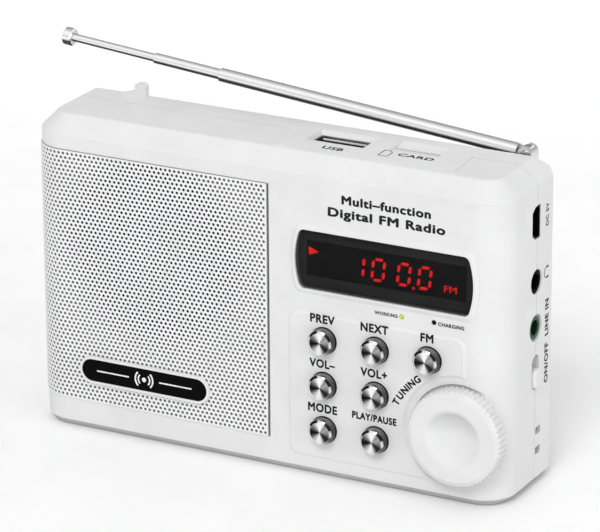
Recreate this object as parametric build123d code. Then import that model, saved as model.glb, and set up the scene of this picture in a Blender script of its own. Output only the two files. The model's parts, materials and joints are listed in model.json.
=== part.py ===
from build123d import *
import math
import os

# ------------------------------------------------------------------ driving dimensions (mm)
# X runs to the right, Y to the back, Z up. The origin is the middle of the underside.
WIDTH = 120.0
DEPTH = 29.4
HEIGHT = 75.6
FRONT = -DEPTH / 2
BACK = DEPTH / 2
SEAM = 2.2                 # where the front and back shells meet
WALL = 1.8
CORNER_RADIUS = 8.0        # the two upright front corners, seen from above
TOP_BEVEL = 4.0
FOOT_BEVEL = 2.0
BACK_BEVEL = 4.4           # round the back, at the sides and the bottom
BACK_TOP_RUN = 5.6         # the back bevel along the top, depth and drop
BACK_TOP_DROP = 5.0
SEAM_GROOVE = 0.24
EDGE_RADIUS = 0.7          # softens every edge of the bevels

GRILLE_RIGHT = 1.6
GRILLE_BOTTOM = 7.7
GRILLE_TOP = 68.1
GRILLE_WRAP = 1.6          # how far it runs on past the left corner's curve
GRILLE_PROUD = 0.3
GRILLE_SEAT = 0.4
GRILLE_GAP = 0.15
GRILLE_SLOT = 0.5          # the wider, deeper gap along its right edge
GRILLE_SLOT_DEEP = 1.2
BADGE_X, BADGE_Z = -30.3, 15.85
BADGE_LENGTH, BADGE_HEIGHT = 34.2, 6.7
INLAY_MARGIN = 0.65

SPEAKER_X, SPEAKER_Z = -28.0, 38.5
SPEAKER_RADIUS = 24.0
SPEAKER_OPENING = 21.0

WINDOW_X, WINDOW_Z = 30.75, 52.0
WINDOW_HALF_LENGTH = 20.6  # to the corners; the ends bulge beyond them
WINDOW_BULGE = 1.3
WINDOW_CORNER = 1.5
WINDOW_HEIGHT = 13.7
WINDOW_THICK = 1.0
FRAME_MARGIN = 1.4
FRAME_PROUD = 0.45
FRAME_SLOPE = 0.9          # how wide its sloping edge is
MODULE_LENGTH, MODULE_HEIGHT, MODULE_DEEP = 39.4, 8.4, 6.0

BUTTON_X = 16.0            # left column
BUTTON_Z = 33.4            # top row
BUTTON_PITCH_X = 13.0
BUTTON_PITCH_Z = 10.7
BUTTON_RADIUS = 3.05
BUTTON_PROUD = 2.7
BUTTON_TRAVEL = 0.5
BUTTON_CLEARANCE = 0.2
PANEL_PROUD = 0.3
PANEL_SLOPE = 0.6          # how wide its sloping edge is
PANEL_LEFT, PANEL_RIGHT = 6.9, 51.0
PANEL_BOTTOM, PANEL_TOP = 4.6, 39.6

LAMP_Z = 42.3
LAMP_RADIUS = 0.5

KNOB_X, KNOB_Z = 49.6, 16.9
KNOB_RADIUS = 11.4
KNOB_PROUD = 3.8
KNOB_TEETH = 56
KNOB_NOTCH = 0.42          # radius of the notches between its teeth
KNOB_DISH_RADIUS = 7.3     # to where the dish blends into the face
KNOB_DISH_DEEP = 1.7
KNOB_WELL_RADIUS = 11.9
KNOB_WELL_DEEP = 0.7
SHAFT_RADIUS = 3.0

BOARD_FRONT, BOARD_BACK = -4.4, -2.8

USB_X, USB_Y = 12.9, 0.05
USB_WIDE, USB_THICK, USB_DEEP = 13.1, 5.7, 14.0
USB_SUNK = 0.75
CARD_X, CARD_Y = 31.6, 1.3
CARD_WIDE = 12.0
SCOOP_RADIUS, SCOOP_DEEP = 9.0, 0.45
PAD_PROUD = 0.3
TONGUE_GAP = 0.12

PORT_Y = 2.0               # the line of sockets down the right side
MINI_USB_Z = 63.1
PHONES_Z = 49.2
LINE_IN_Z = 38.3
PLUG_RADIUS = 1.8          # bore for a 3.5 mm plug
SWITCH_Z = 27.7
SWITCH_SLOT = 8.2
SLIDER_LENGTH = 4.8
SLIDER_TRAVEL = 3.0
EYELET_ZS = (13.3, 8.5)
EYELET_Y = 4.0

ANTENNA_Y = 12.0
PIVOT_X, PIVOT_Z = 52.9, 75.2
ANTENNA_TILT = 5.25        # how far it is raised at rest, degrees
TUBE_RADIUS = 1.6
MIDDLE_RADIUS = 1.25
ROD_RADIUS = 0.95
TUBE_START, TUBE_END = 2.3, 77.6       # all along the antenna, from its pivot
MIDDLE_START, MIDDLE_END = 22.9, 94.9
ROD_START, ROD_END = 45.0, 116.8
CAP_LENGTH, CAP_RADIUS = 2.4, 2.1
CHANNEL_RADIUS = 2.5
FORK_RADIUS = 1.7
HOOK_X = -43.2

BOARD_SCREWS = ((3.9, 66.0), (22.5, 6.5))
SCREWS = ((-53.2, 7.0), (-53.2, 66.0), (53.0, 6.6), (45.8, 64.6))
BATTERY_X, BATTERY_Z = 10.0, 32.0
BATTERY_LENGTH, BATTERY_HEIGHT, BATTERY_THICK = 54.0, 34.0, 5.8
DOOR_THICK = 1.6
DOOR_GAP = 0.2

FAR = 100.0                # longer than anything that is cut with it


# ------------------------------------------------------------------ drawing helpers
def along_y(sketch, near, far):
    """A sketch drawn in X and Z, made solid from y = near to y = far."""
    plane = Plane((0, far, 0), x_dir=(1, 0, 0), z_dir=(0, -1, 0))
    return extrude(plane * sketch, amount=far - near, dir=(0, -1, 0))


def along_x(sketch, left, right):
    """A sketch drawn in Y and Z, made solid from x = left to x = right."""
    plane = Plane((left, 0, 0), x_dir=(0, 1, 0), z_dir=(1, 0, 0))
    return extrude(plane * sketch, amount=right - left, dir=(1, 0, 0))


def along_z(sketch, low, high):
    """A sketch drawn in X and Y, made solid from z = low to z = high."""
    return extrude(Pos(0, 0, low) * sketch, amount=high - low, dir=(0, 0, 1))


def block(x0, x1, y0, y1, z0, z1):
    """A box between two corners."""
    return Pos((x0 + x1) / 2, (y0 + y1) / 2, (z0 + z1) / 2) * Box(x1 - x0, y1 - y0, z1 - z0)


def rod_y(radius, x, z, near, far):
    """A round bar along Y."""
    return along_y(Pos(x, z) * Circle(radius), near, far)


def rod_x(radius, y, z, left, right):
    """A round bar along X."""
    return along_x(Pos(y, z) * Circle(radius), left, right)


def turned_y(points, x, z):
    """A turned piece about an axis along Y: points are (radius, y)."""
    outline = Plane.XY * make_face(Polyline(*points, close=True))
    return Pos(x, 0, z) * revolve(outline, Axis.Y)


# ------------------------------------------------------------------ the case
def plan(inset):
    """The case's front half from above, with its rounded upright corners."""
    front = FRONT + inset
    shape = Pos(0, (front + FAR / 2) / 2) * Rectangle(WIDTH - 2 * inset, FAR / 2 - front)
    return fillet(shape.vertices().sort_by(Axis.Y)[:2], CORNER_RADIUS - inset)


def front_view(inset):
    """The case's outline from the front, with its bevelled corners."""
    w, h, t, b = WIDTH / 2, HEIGHT, TOP_BEVEL, FOOT_BEVEL
    outline = Polygon((-w + b, 0), (w - b, 0), (w, b), (w, h - t), (w - t, h), (t - w, h), (-w, h - t),
                      (-w, b), align=None)
    return offset(outline, -inset, kind=Kind.INTERSECTION) if inset else outline


def front_block(inset):
    """The front half as a solid, bevelled along its top and bottom edges."""
    shrink = inset * math.tan(math.radians(22.5))
    solid = along_z(plan(inset), inset, HEIGHT - inset)
    for face, bevel in ((-1, TOP_BEVEL), (0, FOOT_BEVEL)):
        rim = solid.faces().sort_by(Axis.Z)[face].edges().filter_by(lambda e: e.center().Y < FAR / 2 - 1)
        solid = chamfer(rim, bevel - shrink)
    return solid


def level_edges(solid, heights):
    """The solid's edges that lie flat at any of these heights, without those far behind the case."""
    def wanted(edge):
        box = edge.bounding_box()
        return edge.center().Y < FAR / 2 - 1 and any(
            abs(box.min.Z - z) + abs(box.max.Z - z) < 0.001 for z in heights)
    return solid.edges().filter_by(wanted)


def soft_front_block():
    """The front half with softened edges."""
    solid = front_block(0)
    return fillet(level_edges(solid, (0, FOOT_BEVEL, HEIGHT - TOP_BEVEL, HEIGHT)), EDGE_RADIUS)


def back_block(inset):
    """The back half as a solid, bevelled all round its back."""
    front_edge = -FAR / 2
    side = Polygon((front_edge, 0), (BACK - BACK_BEVEL, 0), (BACK, BACK_BEVEL),
                   (BACK, HEIGHT - BACK_TOP_DROP), (BACK - BACK_TOP_RUN, HEIGHT), (front_edge, HEIGHT),
                   align=None)
    w = WIDTH / 2
    above = Polygon((-w, front_edge), (w, front_edge), (w, BACK - BACK_BEVEL), (w - BACK_BEVEL, BACK),
                    (BACK_BEVEL - w, BACK), (-w, BACK - BACK_BEVEL), align=None)
    if inset:
        side = offset(side, -inset, kind=Kind.INTERSECTION)
        above = offset(above, -inset, kind=Kind.INTERSECTION)
    body = along_x(side, -FAR, FAR) & along_z(above, -FAR, FAR)
    return body & along_y(front_view(inset), -FAR, FAR)


def soft_back_block():
    """The back half with softened edges."""
    solid = back_block(0)
    return fillet(solid.edges().filter_by(lambda edge: edge.center().Y > 1 - FAR / 2), EDGE_RADIUS)


def seam_groove():
    """The shallow groove where the shells meet."""
    ring = front_view(0) - front_view(SEAM_GROOVE)
    return along_y(ring, SEAM - SEAM_GROOVE / 2, SEAM + SEAM_GROOVE / 2)


def window_outline(margin=0.0):
    """The display window: straight above and below, bulging at both ends."""
    half = WINDOW_HALF_LENGTH + margin
    rise = WINDOW_HEIGHT / 2 + margin
    reach = half + WINDOW_BULGE
    edge = Line((-half, rise), (half, rise))
    edge += ThreePointArc((half, rise), (reach, 0), (half, -rise))
    edge += Line((half, -rise), (-half, -rise))
    edge += ThreePointArc((-half, -rise), (-reach, 0), (-half, rise))
    face = make_face(edge)
    return Pos(WINDOW_X, WINDOW_Z) * fillet(face.vertices(), WINDOW_CORNER + margin / 2)


def panel_outline():
    """The raised field of buttons, which runs round the knob's well."""
    wide, tall = PANEL_RIGHT - PANEL_LEFT, PANEL_TOP - PANEL_BOTTOM
    field = Pos((PANEL_LEFT + PANEL_RIGHT) / 2, (PANEL_BOTTOM + PANEL_TOP) / 2) * RectangleRounded(wide, tall, 2.6)
    return field - Pos(KNOB_X, KNOB_Z) * Circle(KNOB_WELL_RADIUS + 1.5)


def raised(sketch, proud, slope):
    """A low solid standing on the front face, with sloping edges."""
    face = Plane((0, FRONT, 0), x_dir=(1, 0, 0), z_dir=(0, -1, 0))
    top = extrude(face * sketch, amount=proud, taper=math.degrees(math.atan(slope / proud)))
    return top + along_y(sketch, FRONT, FRONT + 0.5)


def button_places():
    """Each button's name and centre in X and Z."""
    grid = (("prev", 0, 0), ("next", 1, 0), ("fm", 2, 0), ("volume_down", 0, 1), ("volume_up", 1, 1),
            ("mode", 0, 2), ("play_pause", 1, 2))
    return [(name, BUTTON_X + column * BUTTON_PITCH_X, BUTTON_Z - row * BUTTON_PITCH_Z)
            for name, column, row in grid]


def pad_front():
    """The front shell's share of the raised pad on top."""
    return Polygon((1.0, -9.4), (-1.2, SEAM), (44.2, SEAM), (45.0, -9.4), align=None)


def pad_back():
    """The rest of the raised pad, on a tongue that the front shell sends back over the other."""
    return Polygon((1.4, SEAM), (3.6, 7.6), (38.6, 7.6), (42.6, SEAM), align=None)


def raised_pad(sketch):
    """A low pad standing on the top wall."""
    return along_z(sketch, HEIGHT - WALL, HEIGHT + PAD_PROUD)


def usb_recess():
    """The sunk, bevelled mouth round the USB socket, and the hole in its floor."""
    pad_top = HEIGHT + PAD_PROUD
    floor = HEIGHT - USB_SUNK
    mouth = Pos(USB_X, USB_Y + 0.25, pad_top) * Rectangle(USB_WIDE + 1.2, 8.0)
    base = Pos(USB_X, USB_Y, floor) * Rectangle(USB_WIDE + 0.3, USB_THICK + 0.3)
    return loft([base, mouth]) + block(USB_X - USB_WIDE / 2 - 0.15, USB_X + USB_WIDE / 2 + 0.15,
                                       USB_Y - USB_THICK / 2 - 0.15, USB_Y + USB_THICK / 2 + 0.15,
                                       HEIGHT - 4, floor)


def card_cut():
    """The card slot with its thumb scoop."""
    half = CARD_WIDE / 2
    slot = block(CARD_X - half, CARD_X + half, CARD_Y - 0.45, CARD_Y + 0.45, HEIGHT - 4, HEIGHT + 2)
    scoop = rod_x(SCOOP_RADIUS, CARD_Y, HEIGHT + SCOOP_RADIUS - SCOOP_DEEP, CARD_X - half, CARD_X + half)
    return slot + scoop


def mini_usb_outline(margin):
    """The charging socket's mouth, with two cut corners on its front side."""
    y0, y1 = -2.05 - margin, 2.05 + margin
    z0, z1 = -3.8 - margin, 3.8 + margin
    return Pos(PORT_Y - 0.4, MINI_USB_Z) * Polygon((y0, z0 + 1.1), (y0 + 1.6, z0), (y1, z0), (y1, z1),
                                                   (y0 + 1.6, z1), (y0, z1 - 1.1), align=None)


def side_cuts():
    """Everything that opens through the right side."""
    inner, outer = WIDTH / 2 - 4, WIDTH / 2 + 1
    cuts = along_x(mini_usb_outline(0.05), inner, outer)
    cuts += rod_x(2.85, PORT_Y, PHONES_Z, inner, outer)
    cuts += rod_x(3.15, PORT_Y, LINE_IN_Z, inner, outer)
    cuts += along_x(Pos(PORT_Y + 0.2, SWITCH_Z) * (Rot(0, 0, 90) * SlotOverall(SWITCH_SLOT, 3.8)), inner, outer)
    for z in EYELET_ZS:
        cuts += along_x(Pos(EYELET_Y, z) * RectangleRounded(2.6, 1.8, 0.4), inner, outer)
    return cuts


def screw_boss(x, z):
    """A hollow post on the front shell that a case screw bites into."""
    return rod_y(2.5, x, z, FRONT + WALL / 2, SEAM + 4.0) - rod_y(0.95, x, z, FRONT + WALL + 2, SEAM + 5)


def front_shell():
    """The front half: face, top, underside and sides as far as the seam."""
    shell = soft_front_block() - front_block(WALL)
    shell += raised(panel_outline(), PANEL_PROUD, PANEL_SLOPE)
    shell += raised(window_outline(FRAME_MARGIN), FRAME_PROUD, FRAME_SLOPE)
    shell += raised_pad(pad_front())
    seat = along_z(plan(-2) - plan(GRILLE_SEAT), GRILLE_BOTTOM - GRILLE_GAP, GRILLE_TOP + GRILLE_GAP)
    grille_back = FRONT + CORNER_RADIUS + GRILLE_WRAP + GRILLE_GAP
    shell -= seat & block(-FAR, GRILLE_RIGHT + GRILLE_GAP, -FAR, grille_back, 0, HEIGHT)
    shell -= block(GRILLE_RIGHT, GRILLE_RIGHT + GRILLE_SLOT, -FAR, FRONT + GRILLE_SLOT_DEEP,
                   GRILLE_BOTTOM - GRILLE_GAP, GRILLE_TOP + GRILLE_GAP)
    shell -= rod_y(SPEAKER_OPENING, SPEAKER_X, SPEAKER_Z, -FAR, FRONT + WALL + 1)
    shell -= along_y(window_outline(0.1), -FAR, FRONT + WALL + 1)
    shell -= rod_y(KNOB_WELL_RADIUS, KNOB_X, KNOB_Z, -FAR, FRONT + KNOB_WELL_DEEP)
    shell -= rod_y(SHAFT_RADIUS + 0.4, KNOB_X, KNOB_Z, -FAR, FRONT + WALL + 1)
    for _, x, z in button_places():
        shell -= rod_y(BUTTON_RADIUS + BUTTON_CLEARANCE, x, z, -FAR, FRONT + WALL + 1)
    for x in (35.2, 43.1):
        shell -= rod_y(LAMP_RADIUS + 0.1, x, LAMP_Z, -FAR, FRONT + WALL + 1)
    shell &= block(-FAR, FAR, -FAR, SEAM, -1, FAR)
    for x, z in SCREWS:
        shell += screw_boss(x, z) & front_block(WALL / 2)
    for x, z in BOARD_SCREWS:
        shell += rod_y(2.2, x, z, FRONT + WALL / 2, BOARD_FRONT) - rod_y(0.8, x, z, FRONT + WALL, FAR)
    shell = shell - seam_groove() + raised_pad(pad_back())
    return shell - usb_recess() - card_cut() - side_cuts()


def battery_bay():
    """The inside of the battery compartment, open to the back."""
    margin = 0.4
    return block(BATTERY_X - BATTERY_LENGTH / 2 - 3.0, BATTERY_X + BATTERY_LENGTH / 2 + margin,
                 BACK - DOOR_THICK - BATTERY_THICK - 0.4, FAR,
                 BATTERY_Z - BATTERY_HEIGHT / 2 - margin, BATTERY_Z + BATTERY_HEIGHT / 2 + margin)


def door_outline(margin):
    """The battery door from behind, with its latch tongue."""
    wide, tall = BATTERY_LENGTH + 10.0, BATTERY_HEIGHT + 6.0
    return Pos(BATTERY_X - 1.0, BATTERY_Z) * RectangleRounded(wide + 2 * margin, tall + 2 * margin, 2.0)


def antenna_seat():
    """Room for the stowed antenna and its swivel, cut into the back's top edge."""
    channel = rod_x(CHANNEL_RADIUS, ANTENNA_Y, PIVOT_Z, -FAR, PIVOT_X)
    well = Pos(PIVOT_X, ANTENNA_Y, HEIGHT + 3) * Cylinder(FORK_RADIUS + 1.15, 2 * (HEIGHT + 3 - 72.8))
    stem = Pos(PIVOT_X, ANTENNA_Y, 70) * Cylinder(1.75, 12)
    return channel + well + stem


def hook():
    """The upright catch that the stowed antenna lies behind, with the ramp beside it."""
    post = block(HOOK_X - 1.4, HOOK_X + 1.4, 7.2, 8.9, HEIGHT - 2, HEIGHT + 3.1)
    post = fillet(post.edges().filter_by(Axis.Y).group_by(Axis.Z)[-1], 0.8)
    ramp = along_y(Polygon((HOOK_X - 6.0, HEIGHT - 1), (HOOK_X - 1.0, HEIGHT - 1), (HOOK_X - 1.0, HEIGHT + 1.4),
                           (HOOK_X - 5.2, HEIGHT + 0.1), align=None), 7.2, 8.9)
    return post + ramp


def back_shell():
    """The back half, with the battery compartment, the antenna's seat and its catch."""
    wall_box = battery_bay()
    compartment = block(BATTERY_X - BATTERY_LENGTH / 2 - 4.2, BATTERY_X + BATTERY_LENGTH / 2 + 1.6,
                        BACK - DOOR_THICK - BATTERY_THICK - 1.6, BACK - 0.5,
                        BATTERY_Z - BATTERY_HEIGHT / 2 - 1.6, BATTERY_Z + BATTERY_HEIGHT / 2 + 1.6)
    ledge = along_y(door_outline(2.0), BACK - DOOR_THICK - 1.6, BACK - 0.5)
    shell = soft_back_block() - back_block(WALL) + compartment + ledge - wall_box
    shell -= along_y(door_outline(DOOR_GAP), BACK - DOOR_THICK - DOOR_GAP, FAR)
    shell += block(48.4, 57.6, 7.2, 14.0, 68.0, 73.6) & back_block(0.4)
    turret = Pos(PIVOT_X, ANTENNA_Y, 70.2) * Cylinder(FORK_RADIUS + 1.3, 5.2)
    shell += turret & block(-FAR, FAR, 0, BACK, 0, FAR)
    shell -= antenna_seat()
    shell += hook()
    shell -= along_z(offset(pad_back(), TONGUE_GAP), HEIGHT - WALL - TONGUE_GAP, FAR)
    shell &= block(-FAR, FAR, SEAM, FAR, -1, FAR)
    for x, z in SCREWS:
        shell += rod_y(3.4, x, z, SEAM + 4.3, BACK - 0.6) & back_block(0.2)
        shell -= rod_y(1.35, x, z, SEAM + 3, FAR) + rod_y(2.5, x, z, BACK - 3.2, FAR)
    return shell - seam_groove() - side_cuts()


# ------------------------------------------------------------------ grille, badge and window
def speaker_grille():
    """The perforated sheet's envelope: flat over the speaker, bent round the left corner."""
    band = along_z(plan(-GRILLE_PROUD) - plan(GRILLE_SEAT), GRILLE_BOTTOM, GRILLE_TOP)
    return band & block(-FAR, GRILLE_RIGHT, -FAR, FRONT + CORNER_RADIUS + GRILLE_WRAP, 0, HEIGHT)


def badge_plate():
    """The pill-shaped plate on the grille, with a shallow well for its inlay."""
    face = FRONT - GRILLE_PROUD
    plate = along_y(Pos(BADGE_X, BADGE_Z) * SlotOverall(BADGE_LENGTH, BADGE_HEIGHT), face - 0.7, face)
    well = SlotOverall(BADGE_LENGTH - 2 * INLAY_MARGIN, BADGE_HEIGHT - 2 * INLAY_MARGIN)
    return plate - along_y(Pos(BADGE_X, BADGE_Z) * well, face - 1, face - 0.4)


def badge_inlay():
    """The dark inlay in the badge, without any marking."""
    face = FRONT - GRILLE_PROUD
    pill = SlotOverall(BADGE_LENGTH - 2 * INLAY_MARGIN, BADGE_HEIGHT - 2 * INLAY_MARGIN)
    return along_y(Pos(BADGE_X, BADGE_Z) * pill, face - 0.62, face - 0.4)


def display_window():
    """The smoked window in front of the display."""
    return along_y(window_outline(), FRONT - 0.05, FRONT + WINDOW_THICK)


def led_display():
    """The display module with its two rows of pins down to the board."""
    near = FRONT + WINDOW_THICK + 0.3
    body = block(WINDOW_X - MODULE_LENGTH / 2, WINDOW_X + MODULE_LENGTH / 2, near, near + MODULE_DEEP,
                 WINDOW_Z - MODULE_HEIGHT / 2, WINDOW_Z + MODULE_HEIGHT / 2)
    for z in (WINDOW_Z - 3.2, WINDOW_Z + 3.2):
        for step in range(8):
            x = WINDOW_X + (step - 3.5) * 4.4
            body += block(x - 0.3, x + 0.3, near + MODULE_DEEP - 0.5, BOARD_FRONT, z - 0.3, z + 0.3)
    return body


def indicator(x):
    """A light pipe for an indicator lamp, with the lamp behind it."""
    r, inside = LAMP_RADIUS, FRONT + WALL + 0.6
    return turned_y([(0, FRONT - 0.1), (r - 0.1, FRONT - 0.1), (r, FRONT + 0.1), (r, inside), (1.4, inside),
                     (1.4, BOARD_FRONT), (0, BOARD_FRONT)], x, LAMP_Z)


# ------------------------------------------------------------------ controls
def push_button(x, z):
    """A bright metal cap with a spun face, on a stem with a retaining flange."""
    top = FRONT - BUTTON_PROUD
    inside = FRONT + WALL
    r = BUTTON_RADIUS
    profile = [(0, top + 0.16), (r - 0.75, top + 0.02), (r - 0.62, top), (r - 0.45, top), (r - 0.12, top + 0.2),
               (r, top + 0.5), (r, inside + 0.1), (r + 0.7, inside + 0.1), (r + 0.7, inside + 0.7),
               (1.3, inside + 0.7), (1.3, -10.4), (0, -10.4)]
    return turned_y(profile, x, z)


def tact_switches():
    """The seven small switches on the board, one behind each button."""
    group = []
    for _, x, z in button_places():
        body = block(x - 3, x + 3, BOARD_FRONT - 3.4, BOARD_FRONT, z - 3, z + 3)
        group.append(body + rod_y(1.7, x, z, -9.7, BOARD_FRONT - 3.2))
    return Compound(group)


def tuning_knob():
    """The serrated disc with its finger dish, hollowed behind round a hub."""
    top = FRONT - KNOB_PROUD
    base = FRONT + KNOB_WELL_DEEP - 0.35
    r, deep = KNOB_DISH_RADIUS, KNOB_DISH_DEEP
    dish = Spline((0, top + deep), (0.45 * r, top + 0.8 * deep), (0.8 * r, top + 0.25 * deep), (r, top),
                  tangents=((1, 0), (1, 0)))
    edge = Polyline((r, top), (KNOB_RADIUS - 1.4, top), (KNOB_RADIUS - 0.5, top + 0.2), (KNOB_RADIUS, top + 0.8),
                    (KNOB_RADIUS, base), (0, base), (0, top + deep))
    disc = revolve(make_face(dish + edge), Axis.Y)
    notch = rod_y(KNOB_NOTCH, 0, KNOB_RADIUS + 0.08, top - 1, base + 1)
    for step in range(KNOB_TEETH):
        disc -= Rot(0, 360 / KNOB_TEETH * step, 0) * notch
    disc -= rod_y(SHAFT_RADIUS, 0, 0, top + KNOB_DISH_DEEP + 1.0, FAR)
    return Pos(KNOB_X, 0, KNOB_Z) * disc


def encoder_shaft():
    """The shaft that the knob is pressed on, running back into the encoder."""
    return rod_y(SHAFT_RADIUS, KNOB_X, KNOB_Z, FRONT - KNOB_PROUD + KNOB_DISH_DEEP + 1.0, -7.4)


def rotary_encoder():
    """The encoder behind the tuning knob, with its threaded neck."""
    case = block(KNOB_X - 5.9, KNOB_X + 5.9, -9.4, BOARD_FRONT, KNOB_Z - 5.9, KNOB_Z + 5.9)
    neck = rod_y(SHAFT_RADIUS + 0.9, KNOB_X, KNOB_Z, FRONT + WALL + 0.6, -9.3)
    return case + neck - rod_y(SHAFT_RADIUS + 0.06, KNOB_X, KNOB_Z, -FAR, -7.3)


def power_slider():
    """The slide switch's cap in its slot, at the lower end of its travel."""
    y = PORT_Y + 0.2
    z = SWITCH_Z - SLIDER_TRAVEL / 2
    cap = along_x(Pos(y, z) * RectangleRounded(3.3, SLIDER_LENGTH, 1.5), WIDTH / 2 - WALL - 0.2, WIDTH / 2 + 0.9)
    cap = fillet(cap.faces().sort_by(Axis.X)[-1].edges(), 0.6)
    plate = block(WIDTH / 2 - WALL - 1.0, WIDTH / 2 - WALL - 0.15, y - 2.6, y + 2.6, z - 4.2, z + 4.2)
    stem = block(52.2, WIDTH / 2 - WALL - 0.9, y - 0.6, y + 0.6, z - 0.9, z + 0.9)
    return cap + plate + stem


def slide_switch():
    """The switch that the power slider moves."""
    y = PORT_Y + 0.2
    case = block(50.6, 56.6, BOARD_BACK, y + 2.4, SWITCH_Z - 5.2, SWITCH_Z + 5.2)
    slot = block(51.8, FAR, y - 0.9, y + 0.9, SWITCH_Z - SLIDER_TRAVEL / 2 - 1.3, SWITCH_Z + SLIDER_TRAVEL / 2 + 1.3)
    return case - slot


# ------------------------------------------------------------------ sockets
def usb_a_socket():
    """The upright USB socket: a folded shell with a tongue inside."""
    top = HEIGHT - USB_SUNK + 0.2
    bottom = top - USB_DEEP
    t = 0.3
    x0, x1 = USB_X - USB_WIDE / 2, USB_X + USB_WIDE / 2
    y0, y1 = USB_Y - USB_THICK / 2, USB_Y + USB_THICK / 2
    shell = block(x0, x1, y0, y1, bottom, top) - block(x0 + t, x1 - t, y0 + t, y1 - t, bottom + 1.0, FAR)
    tongue = block(x0 + 0.9, x1 - 0.9, y0 + 0.6, y0 + 2.4, bottom + 0.5, top - 1.6)
    return shell + tongue


def card_socket():
    """The memory card socket below the slot."""
    x0, x1 = CARD_X - 7.0, CARD_X + 7.0
    top = HEIGHT - WALL - 0.2
    case = block(x0, x1, BOARD_BACK, CARD_Y + 0.75, top - 14.5, top)
    return case - block(CARD_X - 5.6, CARD_X + 5.6, CARD_Y - 0.45, CARD_Y + 0.45, top - 12.5, FAR)


def mini_usb_socket():
    """The charging socket in the right side."""
    mouth = WIDTH / 2 - 0.15
    case = along_x(mini_usb_outline(0.0), mouth - 9.0, mouth)
    case += block(mouth - 9.0, mouth - 1.85, BOARD_BACK, PORT_Y, MINI_USB_Z - 3.8, MINI_USB_Z + 3.8)
    case -= along_x(mini_usb_outline(-0.35), mouth - 6.5, FAR)
    y = PORT_Y - 0.4
    return case + block(mouth - 7.0, mouth - 1.4, y - 0.5, y + 0.4, MINI_USB_Z - 2.6, MINI_USB_Z + 2.6)


def audio_jack(z, nose_radius):
    """A 3.5 mm socket: a block on the board with a round nose in the case wall."""
    outer = WIDTH / 2 - WALL
    case = block(outer - 12.5, outer - 0.1, BOARD_BACK, PORT_Y + 3.4, z - 3.6, z + 3.6)
    nose = rod_x(nose_radius, PORT_Y, z, outer - 0.5, WIDTH / 2 - 0.35)
    return case + nose - rod_x(PLUG_RADIUS, PORT_Y, z, outer - 11.5, FAR)


# ------------------------------------------------------------------ board, speaker and battery
def main_board():
    """The circuit board, with clearance for the case posts."""
    board = along_y(Pos(29.6, 38.2) * RectangleRounded(56.2, 66.6, 1.5), BOARD_FRONT, BOARD_BACK)
    for x, z in SCREWS:
        board -= rod_y(2.9, x, z, -FAR, FAR)
    for x, z in BOARD_SCREWS:
        board -= rod_y(1.1, x, z, -FAR, FAR)
    return board


def board_chips():
    """The larger chips and cans on the back of the board."""
    y0 = BOARD_BACK
    chips = ((14.0, 44.0, 9.0, 9.0, 1.2), (28.0, 38.0, 12.0, 7.0, 1.4), (20.0, 27.0, 7.0, 7.0, 1.2),
             (36.0, 25.0, 6.0, 10.0, 1.2), (8.0, 20.0, 5.0, 5.0, 2.6))
    group = [block(x - w / 2, x + w / 2, y0, y0 + tall, z - h / 2, z + h / 2) for x, z, w, h, tall in chips]
    for x, z in ((38.0, 45.5), (27.5, 49.0)):
        group.append(rod_y(2.0, x, z, y0, y0 + 5.0))
    return Compound(group)


def board_screws():
    """The two screws that hold the board to the front shell."""
    heads = [rod_y(2.0, x, z, BOARD_BACK, BOARD_BACK + 1.3) for x, z in BOARD_SCREWS]
    shanks = [rod_y(0.8, x, z, BOARD_BACK - 6.5, BOARD_BACK + 0.5) for x, z in BOARD_SCREWS]
    return Compound([head + shank for head, shank in zip(heads, shanks)])


def speaker_basket():
    """The loudspeaker's pressed steel frame."""
    near = FRONT + WALL
    r = SPEAKER_RADIUS
    return turned_y([(r - 2.6, near), (r, near), (r, near + 1.2), (r - 2.6, near + 1.2), (13.5, near + 8.0),
                     (13.5, near + 9.0), (4.0, near + 9.0), (4.0, near + 8.0), (12.6, near + 8.0),
                     (r - 3.4, near + 1.0)], SPEAKER_X, SPEAKER_Z)


def speaker_cone():
    """The paper cone with its roll surround and dust cap."""
    near = FRONT + WALL
    r = SPEAKER_RADIUS
    front = [(0, near + 3.0), (3.0, near + 3.4), (5.0, near + 5.0), (r - 5.4, near + 1.0), (r - 4.6, near + 0.3),
             (r - 3.7, near + 0.3)]
    rear = [(r - 3.7, near + 0.7), (r - 4.4, near + 0.7), (r - 5.4, near + 1.5), (5.2, near + 5.6), (3.0, near + 4.0),
            (0, near + 3.6)]
    return turned_y(front + rear, SPEAKER_X, SPEAKER_Z)


def speaker_magnet():
    """The magnet, with its voice coil neck."""
    near = FRONT + WALL
    return turned_y([(0, near + 7.2), (3.6, near + 7.2), (3.6, near + 9.0), (13.6, near + 9.0), (14.0, near + 9.4),
                     (14.0, near + 15.6), (13.6, near + 16.0), (0, near + 16.0)], SPEAKER_X, SPEAKER_Z)


def battery():
    """The flat rechargeable cell."""
    far = BACK - DOOR_THICK - 0.3
    cell = block(BATTERY_X - BATTERY_LENGTH / 2, BATTERY_X + BATTERY_LENGTH / 2, far - BATTERY_THICK, far,
                 BATTERY_Z - BATTERY_HEIGHT / 2, BATTERY_Z + BATTERY_HEIGHT / 2)
    return fillet(cell.edges().filter_by(Axis.Z), 2.4)


def battery_contacts():
    """The three sprung blades at the battery's left end."""
    end = BATTERY_X - BATTERY_LENGTH / 2
    far = BACK - DOOR_THICK - 0.3
    middle = far - BATTERY_THICK / 2
    return Compound([block(end - 2.9, end - 0.05, middle - 1.2, middle + 1.2, z - 1.0, z + 1.0)
                     for z in (BATTERY_Z - 7.0, BATTERY_Z, BATTERY_Z + 7.0)])


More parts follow.
